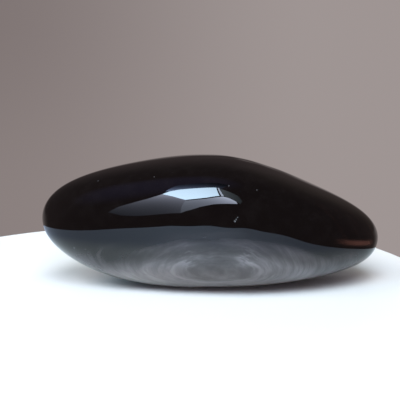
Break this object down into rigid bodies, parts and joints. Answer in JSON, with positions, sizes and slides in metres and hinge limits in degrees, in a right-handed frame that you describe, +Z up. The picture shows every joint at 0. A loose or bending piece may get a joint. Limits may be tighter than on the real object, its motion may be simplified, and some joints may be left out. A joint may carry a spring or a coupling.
{
  "type": "polished obsidian stone",
  "caption": "Palm-sized piece of polished black volcanic glass, a smooth asymmetric pebble that lies flat on its underside.",
  "frame": {"origin": "middle of the bounds in plan, on the plane the stone rests on", "axes": "+X along the stone towards its low drawn-out end, -Y towards its fuller belly, +Z up from the resting flat"},
  "size_m": [0.0768, 0.0424, 0.0281],
  "materials": {
    "obsidian": "polished"
  },
  "bodies": {
    "root": {"obsidian_stone": "obsidian"}
  },
  "joints": []
}
